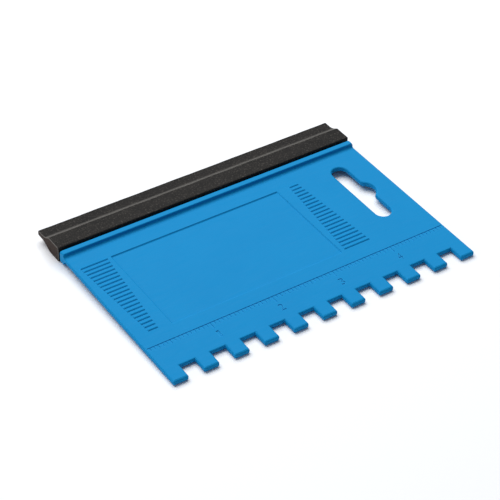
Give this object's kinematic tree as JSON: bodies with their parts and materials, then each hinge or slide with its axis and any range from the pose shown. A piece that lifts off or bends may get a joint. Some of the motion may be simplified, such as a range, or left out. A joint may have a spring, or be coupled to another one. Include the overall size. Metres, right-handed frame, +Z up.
{
  "type": "notched adhesive spreader",
  "caption": "Flat plastic hand spreader with a square-notched front edge, grip bars, a ruler, a hang slot and a rubber squeegee strip along the back edge.",
  "frame": {"origin": "at floor level, under the middle of the tool's outline", "axes": "+X across the tool along the notched edge, +Y from the tooth tips to the rubber lip, +Z up out of the face that carries the ruler"},
  "size_m": [0.1264, 0.0922, 0.0061],
  "materials": {
    "blue_plastic": "moulded polypropylene, fine satin",
    "black_rubber": "matt, with scuffed lighter edges"
  },
  "bodies": {
    "root": {"spreader_plate": "blue_plastic", "squeegee_blade": "black_rubber"}
  },
  "joints": []
}
